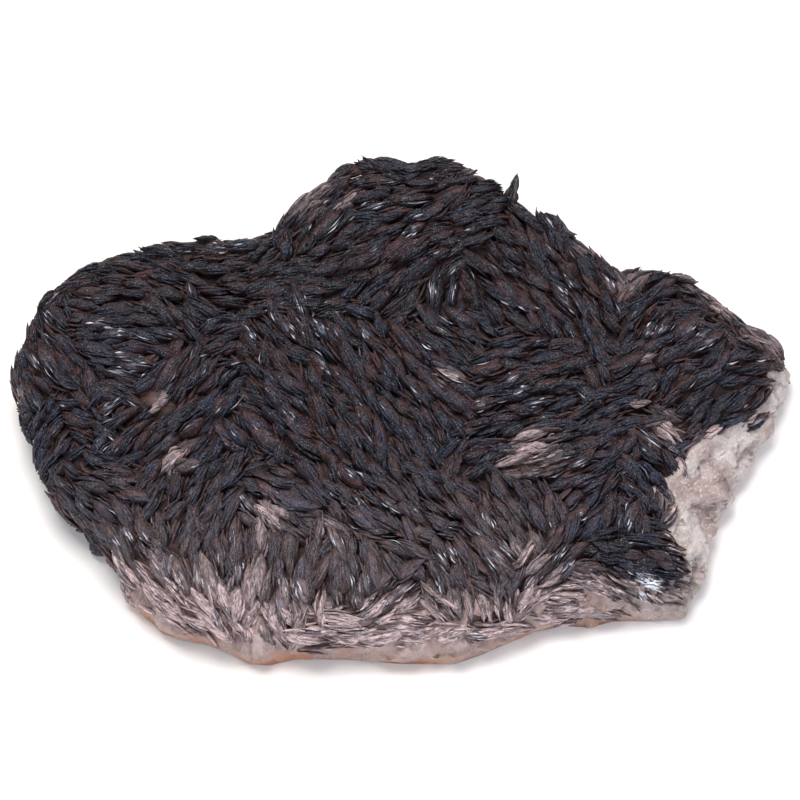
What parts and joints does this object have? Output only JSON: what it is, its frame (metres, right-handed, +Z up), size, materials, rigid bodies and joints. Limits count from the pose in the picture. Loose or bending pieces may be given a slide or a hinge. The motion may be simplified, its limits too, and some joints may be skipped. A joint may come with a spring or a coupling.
{
  "type": "mineral specimen",
  "caption": "Cabinet plate of dark bladed barite: lens-shaped blades in fanned packets, grown over a slab of pale massive barite with a flat underside.",
  "frame": {"origin": "middle of the flat underside of the slab", "axes": "+Z up, out of the plate and towards the blades' tips; +X along the length of the plate, towards its pointed end; +Y to the back, towards the highest lobe of blades"},
  "size_m": [0.1962, 0.134, 0.038],
  "materials": {
    "massive_barite": "rough broken",
    "barite_blades": "satin to vitreous"
  },
  "bodies": {
    "root": {"matrix": "massive_barite", "bladed_crust": "barite_blades"}
  },
  "joints": []
}
